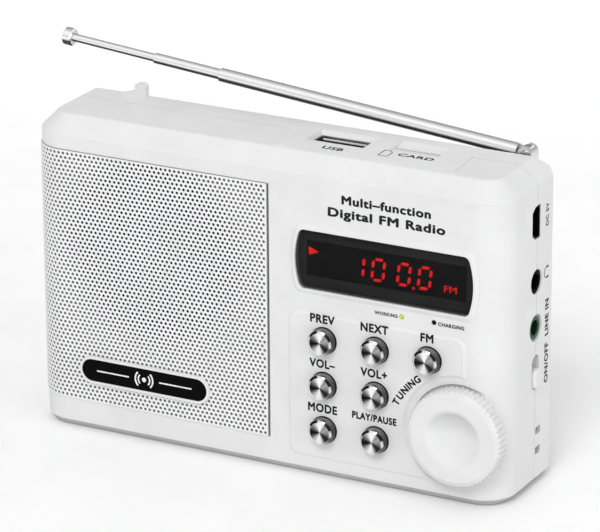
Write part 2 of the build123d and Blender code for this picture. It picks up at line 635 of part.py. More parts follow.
def battery_door():
    """The battery door, with thumb ridges at its left end."""
    door = along_y(door_outline(0), BACK - DOOR_THICK, BACK)
    left = BATTERY_X - 1.0 - BATTERY_LENGTH / 2 - 2.0
    for step in range(5):
        x = left + step * 1.8
        door -= along_y(Pos(x, BATTERY_Z) * SlotOverall(16, 0.8, rotation=90), BACK - 0.4, FAR)
    return door


def case_screws():
    """The four screws that hold the shells together."""
    group = []
    for x, z in SCREWS:
        head = rod_y(2.2, x, z, BACK - 3.2, BACK - 1.8)
        shank = rod_y(0.9, x, z, FRONT + WALL + 3, BACK - 3.0)
        cross = block(x - 1.3, x + 1.3, BACK - 2.4, FAR, z - 0.25, z + 0.25)
        cross += block(x - 0.25, x + 0.25, BACK - 2.4, FAR, z - 1.3, z + 1.3)
        group.append(head + shank - cross)
    return Compound(group)


# ------------------------------------------------------------------ antenna
def tilted(shape):
    """Turns a piece drawn along -X from the origin into place on the pivot."""
    return Pos(PIVOT_X, ANTENNA_Y, PIVOT_Z) * (Rot(0, ANTENNA_TILT, 0) * shape)


def stick(radius, start, end):
    """A round stick along -X, measured from the pivot."""
    return rod_x(radius, 0, 0, -end, -start)


def antenna_bushing():
    """The brass bush in the back shell that the swivel turns in."""
    bush = Pos(PIVOT_X, ANTENNA_Y, 69.4) * Cylinder(1.75, 6.8)
    return bush - Pos(PIVOT_X, ANTENNA_Y, 69.4) * Cylinder(1.15, 8)


def antenna_swivel():
    """The swivel: a stem, a round foot and two cheeks with rounded tops."""
    stem = Pos(PIVOT_X, ANTENNA_Y, 69.7) * Cylinder(1.1, 6.8)
    foot = Pos(PIVOT_X, ANTENNA_Y, 73.3) * Cylinder(FORK_RADIUS + 0.2, 0.6)
    body = along_y(Pos(PIVOT_X, PIVOT_Z) * Circle(FORK_RADIUS), ANTENNA_Y - 2.0, ANTENNA_Y + 2.0)
    body += block(PIVOT_X - 1.6, PIVOT_X + FORK_RADIUS, ANTENNA_Y - 2.0, ANTENNA_Y + 2.0, 73.5, PIVOT_Z)
    slot = block(PIVOT_X - FAR, PIVOT_X + 1.2, ANTENNA_Y - 0.85, ANTENNA_Y + 0.85, PIVOT_Z - 1.45, FAR)
    body -= slot
    return stem + foot + body - rod_y(0.6, PIVOT_X, PIVOT_Z, ANTENNA_Y - 3, ANTENNA_Y + 3)


def antenna_pin():
    """The rivet through the swivel's cheeks."""
    pin = rod_y(0.6, PIVOT_X, PIVOT_Z, ANTENNA_Y - 2.0, ANTENNA_Y + 2.0)
    return pin + rod_y(1.0, PIVOT_X, PIVOT_Z, ANTENNA_Y - 2.3, ANTENNA_Y - 2.0) + rod_y(
        1.0, PIVOT_X, PIVOT_Z, ANTENNA_Y + 2.0, ANTENNA_Y + 2.3)


def antenna_knuckle():
    """The flat blade on the antenna's root, between the cheeks."""
    blade = along_y(Circle(1.15), -0.75, 0.75) + block(-TUBE_START - 1.5, 0, -0.75, 0.75, -1.15, 1.15)
    plug = stick(TUBE_RADIUS - 0.25, TUBE_START, TUBE_START + 3.0)
    return tilted(blade + plug - rod_y(0.62, 0, 0, -2, 2))


def antenna_outer_tube():
    """The antenna's outer tube, swaged in at its end."""
    tube = stick(TUBE_RADIUS, TUBE_START, TUBE_END) - stick(TUBE_RADIUS - 0.25, TUBE_START - 1, TUBE_END - 1.0)
    return tilted(tube - stick(MIDDLE_RADIUS + 0.04, TUBE_END - 2, TUBE_END + 1))


def antenna_middle_tube():
    """The middle stage, which slides in the outer tube."""
    tube = stick(MIDDLE_RADIUS, MIDDLE_START, MIDDLE_END)
    tube -= stick(MIDDLE_RADIUS - 0.22, MIDDLE_START - 1.0, MIDDLE_END - 1.0)
    return tilted(tube - stick(ROD_RADIUS + 0.04, MIDDLE_END - 2, MIDDLE_END + 1))


def antenna_rod():
    """The thin inner stage."""
    return tilted(stick(ROD_RADIUS, ROD_START, ROD_END + 0.5))


def antenna_tip():
    """The cap on the antenna's end, with a waist behind its rim."""
    cap = stick(CAP_RADIUS, ROD_END, ROD_END + CAP_LENGTH)
    cap = chamfer(cap.edges(), 0.3)
    return tilted(cap - stick(ROD_RADIUS, ROD_END - 1, ROD_END + 0.5))


# ------------------------------------------------------------------ the parts
def all_parts():
    """Every node's name and shape."""
    parts = {
        "front_shell": front_shell(), "back_shell": back_shell(), "speaker_grille": speaker_grille(),
        "badge_plate": badge_plate(), "badge_inlay": badge_inlay(), "display_window": display_window(),
        "led_display": led_display(), "working_light": indicator(35.2), "charging_light": indicator(43.1),
        "tact_switches": tact_switches(), "tuning_knob": tuning_knob(), "encoder_shaft": encoder_shaft(),
        "rotary_encoder": rotary_encoder(), "power_slider": power_slider(), "slide_switch": slide_switch(),
        "usb_a_socket": usb_a_socket(), "card_socket": card_socket(), "mini_usb_socket": mini_usb_socket(),
        "headphone_jack": audio_jack(PHONES_Z, 2.8), "line_in_jack": audio_jack(LINE_IN_Z, 3.1),
        "main_board": main_board(), "board_chips": board_chips(), "board_screws": board_screws(),
        "speaker_basket": speaker_basket(), "speaker_cone": speaker_cone(), "speaker_magnet": speaker_magnet(),
        "battery": battery(), "battery_contacts": battery_contacts(), "battery_door": battery_door(),
        "case_screws": case_screws(), "antenna_bushing": antenna_bushing(), "antenna_swivel": antenna_swivel(),
        "antenna_pin": antenna_pin(), "antenna_knuckle": antenna_knuckle(),
        "antenna_outer_tube": antenna_outer_tube(), "antenna_middle_tube": antenna_middle_tube(),
        "antenna_rod": antenna_rod(), "antenna_tip": antenna_tip(),
    }
    for name, x, z in button_places():
        parts["button_" + name] = push_button(x, z)
    return parts


os.makedirs("parts", exist_ok=True)
for node, shape in all_parts().items():
    export_step(shape, "parts/" + node + ".step")
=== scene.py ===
import json
import math

import bmesh
import bpy
from mathutils import Matrix, Vector


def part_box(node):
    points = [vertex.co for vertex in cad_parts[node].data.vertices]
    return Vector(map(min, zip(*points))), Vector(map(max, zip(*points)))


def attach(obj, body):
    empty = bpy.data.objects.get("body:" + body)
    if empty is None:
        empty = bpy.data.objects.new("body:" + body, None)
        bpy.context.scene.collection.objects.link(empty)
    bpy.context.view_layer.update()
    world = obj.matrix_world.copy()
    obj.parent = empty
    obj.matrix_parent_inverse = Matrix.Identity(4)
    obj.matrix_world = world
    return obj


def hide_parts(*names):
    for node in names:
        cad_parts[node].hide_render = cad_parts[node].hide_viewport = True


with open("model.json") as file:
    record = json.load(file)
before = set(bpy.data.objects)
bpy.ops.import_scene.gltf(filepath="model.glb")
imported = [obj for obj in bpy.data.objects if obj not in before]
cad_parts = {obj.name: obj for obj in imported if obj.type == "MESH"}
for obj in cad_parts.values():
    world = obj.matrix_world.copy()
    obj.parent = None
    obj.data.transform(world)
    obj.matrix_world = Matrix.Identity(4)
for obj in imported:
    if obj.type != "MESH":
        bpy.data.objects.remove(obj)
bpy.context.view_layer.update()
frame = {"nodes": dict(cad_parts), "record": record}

MM = 0.001


def box_mm(node):
    """A CAD node's lowest and highest corners, in mm."""
    return [[c / MM for c in corner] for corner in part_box(node)]


def middle(node):
    """The middle of a CAD node's box, in mm."""
    return [(low + high) / 2 for low, high in zip(*box_mm(node))]


# ------------------------------------------------------------------ places on the radio, in mm
FRONT = -14.7              # the case's front face
PANEL = FRONT - 0.3        # the raised button panel's face
TOP_PAD = 75.9             # the raised pad round the sockets on top
RIGHT_SIDE = 60.0
PRINT = 0.03               # how thick printed lettering stands on a surface

WINDOW_X, _, WINDOW_Z = middle("display_window")
WINDOW_BACK = box_mm("display_window")[1][1]
SEGMENT_FRONT, SEGMENT_BACK = WINDOW_BACK + 0.06, WINDOW_BACK + 0.25
MASK_FRONT, MASK_BACK = WINDOW_BACK + 0.04, WINDOW_BACK + 0.2
BUTTON_X, BUTTON_Z = 16.0, 33.4
PITCH_X, PITCH_Z = 13.0, 10.7
BADGE_X, _, BADGE_Z = middle("badge_inlay")
BADGE_FACE = box_mm("badge_inlay")[0][1]
USB_X = middle("usb_a_socket")[0]
LINE_IN = next(mount["pos_m"] for mount in frame["record"]["mounts"] if mount["name"] == "line_in_jack")
LINE_IN_Y, LINE_IN_Z = LINE_IN[1] / MM, LINE_IN[2] / MM

GRILLE_LOW, GRILLE_HIGH = box_mm("speaker_grille")
GRILLE_RIGHT, GRILLE_FACE = GRILLE_HIGH[0], GRILLE_LOW[1]
GRILLE_BOTTOM, GRILLE_TOP = GRILLE_LOW[2], GRILLE_HIGH[2]
CORNER_RADIUS = 8.3        # of the left front corner's curve, at the grille's face
CORNER_X, CORNER_Y = GRILLE_LOW[0] + CORNER_RADIUS, GRILLE_FACE + CORNER_RADIUS   # that curve's axis
GRILLE_SIDE = GRILLE_HIGH[1] - CORNER_Y   # how far the sheet goes on along the left side
GRILLE_FLAT = GRILLE_RIGHT - CORNER_X
GRILLE_BEND = CORNER_RADIUS * math.pi / 2
GRILLE_LENGTH = GRILLE_FLAT + GRILLE_BEND + GRILLE_SIDE
GRILLE_THICK = 0.12        # the sheet at its holes
GRILLE_FOLD = 0.25         # how deep its edges fold back
GRILLE_MARGIN = 0.1        # the plain border round the holes
HOLE_PITCH, HOLE_ROW = 1.15, 1.0
HOLE_RADIUS = 0.35
HOLE_SIDES = 12
SHADE_SHEET_DEEP = 0.17        # from the grille's face to the black sheet of painted shade behind it
SHADE_SHEET_ENDS, SHADE_SHEET_EDGES = 0.4, 0.3   # how far that sheet stops short of the grille
SHADE_SHEET_BANDS = 90
PAINTED_SHADE_X, PAINTED_SHADE_Z = -27.5, 47.5   # the middle of that sheet's darkest painted shade, over the speaker
PAINTED_SHADE_START, PAINTED_SHADE_END = 19.0, 27.0   # how far from there it starts to pale, and stops
GROOVE_RIGHT = 2.1         # the right edge of the groove beside the grille


# ------------------------------------------------------------------ node helpers
def new_material(name):
    """A material with only its Principled shader: (material, nodes, links, shader)."""
    material = bpy.data.materials.new(name)
    material.use_nodes = True
    nodes = material.node_tree.nodes
    return material, nodes, material.node_tree.links, nodes["Principled BSDF"]


def settings(shader, **values):
    """Sets a shader's own sockets, named with underscores for spaces."""
    for name, value in values.items():
        shader.inputs[name.replace("_", " ")].default_value = value


def noise(nodes, links, scale, detail=3.0, roughness=0.55):
    """Noise in the piece's own coordinates, scale in waves per metre."""
    place = nodes.new("ShaderNodeTexCoord")
    texture = nodes.new("ShaderNodeTexNoise")
    texture.inputs["Scale"].default_value = scale
    texture.inputs["Detail"].default_value = detail
    texture.inputs["Roughness"].default_value = roughness
    links.new(place.outputs["Object"], texture.inputs["Vector"])
    return texture.outputs["Fac"]


def ramp(nodes, links, value, low, high, start=0.35, end=0.65):
    """A value spread between two colours."""
    node = nodes.new("ShaderNodeValToRGB")
    node.color_ramp.elements[0].position = start
    node.color_ramp.elements[1].position = end
    node.color_ramp.elements[0].color = low
    node.color_ramp.elements[1].color = high
    links.new(value, node.inputs["Fac"])
    return node.outputs["Color"]


def spread(nodes, links, value, low, high):
    """A value from 0 to 1 mapped to between two numbers."""
    node = nodes.new("ShaderNodeMapRange")
    node.inputs["To Min"].default_value = low
    node.inputs["To Max"].default_value = high
    links.new(value, node.inputs["Value"])
    return node.outputs["Result"]


def bump(nodes, links, value, depth_mm, strength=1.0, below=None):
    """A bump of that depth, on top of another if given."""
    node = nodes.new("ShaderNodeBump")
    node.inputs["Strength"].default_value = strength
    node.inputs["Distance"].default_value = depth_mm * MM
    links.new(value, node.inputs["Height"])
    if below is not None:
        links.new(below, node.inputs["Normal"])
    return node.outputs["Normal"]


def shade(color, factor):
    """A colour made lighter or darker."""
    return tuple(min(1.0, c * factor) for c in color[:3]) + (1,)


def facing_up(nodes, links):
    """How far the surface faces up, from 0 straight down to 1 straight up."""
    place = nodes.new("ShaderNodeTexCoord")
    split = nodes.new("ShaderNodeSeparateXYZ")
    links.new(place.outputs["Normal"], split.inputs["Vector"])
    upward = nodes.new("ShaderNodeMapRange")
    upward.inputs["From Min"].default_value = -1.0
    links.new(split.outputs["Z"], upward.inputs["Value"])
    return upward.outputs["Result"]


def multiply(nodes, links, first, second):
    """One colour times another."""
    node = nodes.new("ShaderNodeMix")
    node.data_type = "RGBA"
    node.blend_type = "MULTIPLY"
    node.inputs[0].default_value = 1.0
    links.new(first, node.inputs[6])
    links.new(second, node.inputs[7])
    return node.outputs[2]


# ------------------------------------------------------------------ materials
def plastic(name, color, roughness=0.42, grain=2600.0, depth=0.012, mottle=0.03, specular=0.45,
            painted_shade_below=None):
    """Moulded plastic: fine spark-eroded grain, faint clouding and uneven polish.

    Painted shade on faces turned down can be given as (how dark, where fully so, where not at all):
    0 is facing down and 1 facing up.
    """
    material, nodes, links, shader = new_material(name)
    clouds = noise(nodes, links, 90.0)
    tone = ramp(nodes, links, clouds, shade(color, 1 - mottle), shade(color, 1 + mottle / 2))
    # Painted shade: the colour is darkened where the surface faces down.
    if painted_shade_below:
        level, start, end = painted_shade_below
        dull = ramp(nodes, links, facing_up(nodes, links), (level,) * 3 + (1,), (1, 1, 1, 1), start, end)
        tone = multiply(nodes, links, tone, dull)
    links.new(tone, shader.inputs["Base Color"])
    fine = noise(nodes, links, grain, detail=2.0)
    links.new(spread(nodes, links, fine, roughness - 0.06, roughness + 0.08), shader.inputs["Roughness"])
    links.new(bump(nodes, links, fine, depth), shader.inputs["Normal"])
    settings(shader, Specular_IOR_Level=specular)
    return material


def metal(name, color, roughness, grain_scale=(400.0, 400.0, 400.0), depth=0.002, spread_by=0.06):
    """Plated or bare metal with fine directional marks."""
    material, nodes, links, shader = new_material(name)
    place = nodes.new("ShaderNodeTexCoord")
    stretch = nodes.new("ShaderNodeMapping")
    stretch.inputs["Scale"].default_value = grain_scale
    links.new(place.outputs["Object"], stretch.inputs["Vector"])
    marks = nodes.new("ShaderNodeTexNoise")
    marks.inputs["Scale"].default_value = 8.0
    marks.inputs["Detail"].default_value = 4.0
    links.new(stretch.outputs["Vector"], marks.inputs["Vector"])
    links.new(ramp(nodes, links, marks.outputs["Fac"], shade(color, 0.93), shade(color, 1.04)),
              shader.inputs["Base Color"])
    smooth, dull = max(0.02, roughness - spread_by), roughness + spread_by
    links.new(spread(nodes, links, marks.outputs["Fac"], smooth, dull), shader.inputs["Roughness"])
    links.new(bump(nodes, links, marks.outputs["Fac"], depth), shader.inputs["Normal"])
    settings(shader, Metallic=1.0)
    return material


# Painted reflections on a spun cap: how bright it is painted at each angle,
# in degrees anticlockwise from the right: (angle, brightness).
PAINTED_FACE_SHEEN = ((0, 0.22), (32, 0.42), (52, 0.24), (70, 0.90), (90, 1.00), (108, 0.85), (132, 0.30),
              (160, 0.05), (185, 0.0), (206, 0.05), (232, 0.50), (258, 0.95), (282, 0.85), (298, 0.20),
              (316, 0.0), (342, 0.05), (360, 0.22))
PAINTED_BEVEL_SHEEN = ((0, 0.75), (16, 0.55), (22, 0.02), (60, 0.02), (66, 0.95), (98, 0.95), (104, 0.02),
               (146, 0.02), (154, 0.60), (200, 0.75), (270, 0.80), (318, 0.20), (340, 0.10), (350, 0.60),
               (360, 0.75))
PAINTED_FLANK_SHEEN = ((0, 0.04), (30, 0.10), (60, 0.22), (100, 0.24), (140, 0.06), (180, 0.30), (280, 0.10),
               (320, 0.02), (345, 0.02), (360, 0.04))
BEVEL_START, FLANK_START = 2.42, 2.98   # how far from a cap's axis, in mm
RING_PITCH = 0.09          # of the lathe marks on a cap, in mm


def maths(nodes, links, operation, first, second=None):
    """One arithmetic step on a value and another value or number."""
    node = nodes.new("ShaderNodeMath")
    node.operation = operation
    for socket, value in zip(node.inputs, (first, second)):
        if value is None:
            continue
        if isinstance(value, (int, float)):
            socket.default_value = value
        else:
            links.new(value, socket)
    return node.outputs["Value"]


def angular(nodes, links, turns, stops):
    """Brightness by angle, from stops of (degrees, brightness)."""
    node = nodes.new("ShaderNodeValToRGB")
    elements = node.color_ramp.elements
    for degrees, level in stops[1:-1]:
        elements.new(degrees / 360).color = (level, level, level, 1)
    elements[0].color = (stops[0][1],) * 3 + (1,)
    elements[len(elements) - 1].color = (stops[-1][1],) * 3 + (1,)
    links.new(turns, node.inputs["Fac"])
    return node.outputs["Color"]


def choose(nodes, links, test, first, second):
    """The first colour where the test is 0, the second where it is 1."""
    node = nodes.new("ShaderNodeMix")
    node.data_type = "RGBA"
    for socket, value in ((0, test), (6, first), (7, second)):
        links.new(value, node.inputs[socket])
    return node.outputs[2]


def centred(nodes, links, centre):
    """The piece's own X, Y and Z, measured from a point in mm."""
    place = nodes.new("ShaderNodeTexCoord")
    shift = nodes.new("ShaderNodeMapping")
    shift.inputs["Location"].default_value = [-c * MM for c in centre]
    links.new(place.outputs["Object"], shift.inputs["Vector"])
    split = nodes.new("ShaderNodeSeparateXYZ")
    links.new(shift.outputs["Vector"], split.inputs["Vector"])
    return split.outputs["X"], split.outputs["Y"], split.outputs["Z"]


def distance(nodes, links, first, second):
    """The distance from an axis, from the two coordinates across it."""
    squares = [maths(nodes, links, "POWER", value, 2) for value in (first, second)]
    return maths(nodes, links, "SQRT", maths(nodes, links, "ADD", *squares))


def by_radius(material, reach, inner, outer, start, end):
    """Colours a material by distance from an axis: inner up to start and outer from end, in mm."""
    nodes, links = material.node_tree.nodes, material.node_tree.links
    share = nodes.new("ShaderNodeMapRange")
    share.inputs["From Min"].default_value = start * MM
    share.inputs["From Max"].default_value = end * MM
    links.new(reach, share.inputs["Value"])
    tone = ramp(nodes, links, share.outputs["Result"], inner, outer, 0.0, 1.0)
    links.new(tone, nodes["Principled BSDF"].inputs["Base Color"])
    return material


def painted_shade_board():
    """Painted shade behind the grille's holes: black over the speaker, greyer where it lies on the case."""
    material = plastic("backing_painted_shade", (0.05, 0.05, 0.05, 1), roughness=0.9, grain=5000.0, depth=0.03,
                       specular=0.03)
    nodes, links = material.node_tree.nodes, material.node_tree.links
    x, _, z = centred(nodes, links, (PAINTED_SHADE_X, 0, PAINTED_SHADE_Z))
    return by_radius(material, distance(nodes, links, x, z), (0.001, 0.001, 0.001, 1), (0.12, 0.12, 0.12, 1),
                     PAINTED_SHADE_START, PAINTED_SHADE_END)


def line_in_plastic():
    """The green socket: dark inside, with a paler rim."""
    material = plastic("line_in_green", (0.02, 0.1, 0.05, 1), roughness=0.3, grain=2500.0, specular=0.25)
    nodes, links = material.node_tree.nodes, material.node_tree.links
    _, y, z = centred(nodes, links, (0, LINE_IN_Y, LINE_IN_Z))
    return by_radius(material, distance(nodes, links, y, z), (0.004, 0.035, 0.014, 1), (0.28, 0.42, 0.33, 1),
                     2.55, 2.85)


def painted_sheen_cap(name, centre):
    """A lathe-spun cap round centre (x, z) in mm, facing the front, with fine rings.

    Its wedges of sheen are painted reflections in its colour.
    """
    material, nodes, links, shader = new_material(name)
    x, _, z = centred(nodes, links, (centre[0], 0, centre[1]))
    angle = maths(nodes, links, "ARCTAN2", z, x)
    turns = maths(nodes, links, "FRACT", maths(nodes, links, "DIVIDE", angle, 2 * math.pi))
    painted_sheen_jitter = nodes.new("ShaderNodeTexNoise")
    painted_sheen_jitter.noise_dimensions = "1D"
    painted_sheen_jitter.inputs["Scale"].default_value = 60.0
    links.new(turns, painted_sheen_jitter.inputs["W"])
    uneven = maths(nodes, links, "SUBTRACT", painted_sheen_jitter.outputs["Fac"], 0.5)
    wobble = maths(nodes, links, "MULTIPLY", uneven, 0.05)
    reach = distance(nodes, links, x, z)
    past_face = maths(nodes, links, "GREATER_THAN", reach, BEVEL_START * MM)
    past_bevel = maths(nodes, links, "GREATER_THAN", reach, FLANK_START * MM)
    # Painted reflections: the face, bevel and flank colours are wedges of sheen by angle.
    face = angular(nodes, links, maths(nodes, links, "ADD", turns, wobble), PAINTED_FACE_SHEEN)
    rim = choose(nodes, links, past_bevel, angular(nodes, links, turns, PAINTED_BEVEL_SHEEN),
                 angular(nodes, links, turns, PAINTED_FLANK_SHEEN))
    links.new(choose(nodes, links, past_face, face, rim), shader.inputs["Base Color"])
    phase = maths(nodes, links, "MULTIPLY", reach, 2 * math.pi / (RING_PITCH * MM))
    rings = maths(nodes, links, "SINE", phase)
    links.new(spread(nodes, links, past_face, 0.30, 0.22), shader.inputs["Roughness"])
    links.new(bump(nodes, links, rings, 0.002), shader.inputs["Normal"])
    settings(shader, Metallic=1.0)
    return material


# The aerial's painted reflection: how bright its plating is painted, from where it faces down, -1,
# to up, 1: (facing, brightness).
PAINTED_TUBE_SHEEN = ((-1.0, 0.02), (-0.26, 0.03), (-0.10, 0.60), (0.02, 1.00), (0.66, 1.00), (0.86, 0.62),
              (1.0, 0.32))


def plated_tube_painted_reflection():
    """Bright plating on the aerial, dark along its underside, with fine drawn lines.

    The bright and dark bands are a painted reflection in its colour.
    """
    material, nodes, links, shader = new_material("aerial_plate_painted_reflection")
    place = nodes.new("ShaderNodeTexCoord")
    stops = [((facing + 1) * 180, level) for facing, level in PAINTED_TUBE_SHEEN]
    links.new(angular(nodes, links, facing_up(nodes, links), stops), shader.inputs["Base Color"])
    stretch = nodes.new("ShaderNodeMapping")
    stretch.inputs["Scale"].default_value = (4.0, 60.0, 60.0)
    links.new(place.outputs["Object"], stretch.inputs["Vector"])
    lines = nodes.new("ShaderNodeTexNoise")
    lines.inputs["Scale"].default_value = 8.0
    links.new(stretch.outputs["Vector"], lines.inputs["Vector"])
    links.new(spread(nodes, links, lines.outputs["Fac"], 0.18, 0.26), shader.inputs["Roughness"])
    links.new(bump(nodes, links, lines.outputs["Fac"], 0.0008), shader.inputs["Normal"])
    settings(shader, Metallic=0.6)
    return material


def ink(name, color):
    """Screen-printed ink: matte, with a slightly uneven coat."""
    material, nodes, links, shader = new_material(name)
    coat = noise(nodes, links, 1500.0)
    links.new(ramp(nodes, links, coat, shade(color, 0.8), shade(color, 1.3)), shader.inputs["Base Color"])
    links.new(spread(nodes, links, coat, 0.45, 0.6), shader.inputs["Roughness"])
    settings(shader, Specular_IOR_Level=0.15)
    return material


def glowing(name, color, strength):
    """A lit segment or lamp behind a diffuser, brighter in places."""
    material, nodes, links, shader = new_material(name)
    uneven = noise(nodes, links, 700.0)
    body = ramp(nodes, links, uneven, shade(color, 0.75), shade(color, 1.1))
    links.new(body, shader.inputs["Base Color"])
    light = ramp(nodes, links, uneven, shade(color, 0.8), shade(color, 1.1))
    links.new(light, shader.inputs["Emission Color"])
    settings(shader, Emission_Strength=strength, Roughness=0.4)
    return material


def smoked_window():
    """Dark clear plastic that shows the display behind it."""
    material, nodes, links, shader = new_material("smoked_window")
    wipe = noise(nodes, links, 60.0)
    links.new(ramp(nodes, links, wipe, (0.006, 0.006, 0.007, 1), (0.010, 0.010, 0.011, 1)),
              shader.inputs["Base Color"])
    links.new(spread(nodes, links, wipe, 0.22, 0.30), shader.inputs["Roughness"])
    settings(shader, Alpha=0.42, Specular_IOR_Level=0.0)
    return material


def laminate():
    """Green circuit board with faint copper tracks under the lacquer."""
    material, nodes, links, shader = new_material("board_laminate")
    place = nodes.new("ShaderNodeTexCoord")
    tracks = nodes.new("ShaderNodeTexBrick")
    tracks.inputs["Scale"].default_value = 260.0
    tracks.inputs["Mortar Size"].default_value = 0.03
    tracks.inputs["Color1"].default_value = (0.012, 0.10, 0.04, 1)
    tracks.inputs["Color2"].default_value = (0.015, 0.13, 0.05, 1)
    tracks.inputs["Mortar"].default_value = (0.05, 0.26, 0.10, 1)
    links.new(place.outputs["Object"], tracks.inputs["Vector"])
    links.new(tracks.outputs["Color"], shader.inputs["Base Color"])
    links.new(bump(nodes, links, tracks.outputs["Fac"], 0.02), shader.inputs["Normal"])
    settings(shader, Roughness=0.32)
    return material


WHITE = (0.745, 0.745, 0.75, 1)
materials = {
    # The case and the knob get painted shade where they face down: the case's bottom bevel, the upper wall of
    # the knob's dish.
    "case": plastic("case_white_painted_shade", WHITE, painted_shade_below=(0.62, 0.17, 0.27)),
    "knob": plastic("knob_white_painted_shade", WHITE, roughness=0.36, grain=3200.0, painted_shade_below=(0.72, 0.25, 0.48)),
    "grille": plastic("grille_paint", (0.82, 0.82, 0.825, 1), roughness=0.38, grain=4000.0, depth=0.006),
    "black": plastic("black_moulding", (0.012, 0.012, 0.013, 1), roughness=0.45, grain=3000.0, mottle=0.3),
    "gloss_black": plastic("gloss_black", (0.001, 0.001, 0.001, 1), roughness=0.3, grain=900.0, depth=0.001,
                           mottle=0.2, specular=0.05),
    "mask": plastic("display_mask", (0.155, 0.155, 0.157, 1), roughness=0.5, grain=3000.0, mottle=0.1,
                    specular=0.0),
    "segment_off": plastic("display_face", (0.050, 0.050, 0.051, 1), roughness=0.6, grain=3000.0, mottle=0.1,
                           specular=0.0),
    "green": line_in_plastic(),
    "jack_black": plastic("jack_moulding", (0.001, 0.001, 0.001, 1), roughness=0.6, grain=3000.0, mottle=0.3,
                          specular=0.04),
    "painted_shade_fibre": painted_shade_board(),
    "lamp_off": plastic("lamp_dark", (0.004, 0.004, 0.005, 1), roughness=0.2, grain=1500.0, mottle=0.2,
                        specular=0.1),
    "cone": plastic("cone_paper", (0.010, 0.010, 0.011, 1), roughness=0.85, grain=1400.0, depth=0.05,
                    mottle=0.3),
    "battery": plastic("battery_wrap", (0.03, 0.08, 0.28, 1), roughness=0.25, grain=400.0, depth=0.03,
                       mottle=0.1),
    "chrome": metal("chrome_plate", (0.75, 0.75, 0.76, 1), 0.12, (60.0, 60.0, 60.0), depth=0.0008,
                    spread_by=0.03),
    "painted_reflection_aerial": plated_tube_painted_reflection(),
    "steel": metal("plain_steel", (0.50, 0.50, 0.51, 1), 0.3),
    "dark_steel": metal("blackened_steel", (0.02, 0.02, 0.021, 1), 0.4),
    "socket_steel": metal("tinned_steel", (0.62, 0.62, 0.63, 1), 0.22, (300.0, 300.0, 40.0)),
    "brass": metal("turned_brass", (0.70, 0.50, 0.22, 1), 0.25),
    "ink": ink("black_ink", (0.012, 0.012, 0.014, 1)),
    "white_ink": ink("white_ink", (0.85, 0.85, 0.85, 1)),
    "red": glowing("red_segment", (0.80, 0.016, 0.014, 1), 2.1),
    "lamp_on": glowing("lamp_lit", (0.42, 0.56, 0.03, 1), 0.45),
    "window": smoked_window(),
    "laminate": laminate(),
}

CAD_FINISHES = {
    "front_shell": "case", "back_shell": "case", "badge_plate": "case", "badge_inlay": "gloss_black",
    "display_window": "window", "led_display": "segment_off", "working_light": "lamp_on",
    "charging_light": "lamp_off", "tact_switches": "black", "tuning_knob": "knob", "encoder_shaft": "steel",
    "rotary_encoder": "steel", "power_slider": "case", "slide_switch": "steel",
    "usb_a_socket": "socket_steel", "card_socket": "dark_steel", "mini_usb_socket": "dark_steel",
    "headphone_jack": "jack_black", "line_in_jack": "green", "main_board": "laminate",
    "board_chips": "black", "board_screws": "steel",
    "speaker_basket": "steel", "speaker_cone": "cone", "speaker_magnet": "steel", "battery": "battery",
    "battery_contacts": "brass", "battery_door": "case", "case_screws": "steel", "antenna_bushing": "brass",
    "antenna_swivel": "chrome", "antenna_pin": "steel", "antenna_knuckle": "steel",
    "antenna_outer_tube": "painted_reflection_aerial", "antenna_middle_tube": "painted_reflection_aerial", "antenna_rod": "painted_reflection_aerial",
    "antenna_tip": "painted_reflection_aerial",
}

# Each button: (name, column from the left, row from the top).
BUTTONS = (("prev", 0, 0), ("next", 1, 0), ("fm", 2, 0), ("volume_down", 0, 1), ("volume_up", 1, 1),
           ("mode", 0, 2), ("play_pause", 1, 2))


def finish(obj, material):
    """Gives a piece one material."""
    obj.data.materials.clear()
    obj.data.materials.append(material)


for node_name, kind in CAD_FINISHES.items():
    finish(frame["nodes"][node_name], materials[kind])
for button, column, row in BUTTONS:
    centre = (BUTTON_X + column * PITCH_X, BUTTON_Z - row * PITCH_Z)
    finish(frame["nodes"]["button_" + button], painted_sheen_cap("painted_sheen_cap_" + button, centre))


# ------------------------------------------------------------------ making pieces
def piece(name, points, faces, material, body="case", smooth=False):
    """A mesh piece from points in mm, riding on a body."""
    mesh = bpy.data.meshes.new(name)
    mesh.from_pydata([tuple(c * MM for c in p) for p in points], [], faces)
    mesh.update()
    mesh.shade_smooth() if smooth else mesh.shade_flat()
    obj = bpy.data.objects.new(name, mesh)
    bpy.context.collection.objects.link(obj)
    finish(obj, material)
    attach(obj, body)
    return obj


def prism(points, faces, outline, near, far):
    """Adds a closed slab from y = near to y = far, with an anticlockwise outline in X and Z."""
    start, count = len(points), len(outline)
    points += [(x, near, z) for x, z in outline] + [(x, far, z) for x, z in outline]
    faces.append(tuple(range(start, start + count)))
    faces.append(tuple(range(start + 2 * count - 1, start + count - 1, -1)))
    for i in range(count):
        j = (i + 1) % count
        faces.append((start + i, start + count + i, start + count + j, start + j))


# ------------------------------------------------------------------ speaker grille
def grille_point(along, z, depth):
    """A point on the grille: along runs left from its right edge, round the corner; depth is inwards."""
    if along <= GRILLE_FLAT:
        return GRILLE_RIGHT - along, GRILLE_FACE + depth, z
    radius = CORNER_RADIUS - depth
    if along <= GRILLE_FLAT + GRILLE_BEND:
        angle = (along - GRILLE_FLAT) / CORNER_RADIUS
        return CORNER_X - radius * math.sin(angle), CORNER_Y - radius * math.cos(angle), z
    return CORNER_X - radius, CORNER_Y + along - GRILLE_FLAT - GRILLE_BEND, z


def grille_quad(points, faces, a0, a1, z0, z1):
    """A plain patch of the grille's face."""
    start = len(points)
    corners = ((a0, z0), (a0, z1), (a1, z1), (a1, z0))
    points += [grille_point(a, z, 0) for a, z in corners]
    faces.append((start, start + 1, start + 2, start + 3))


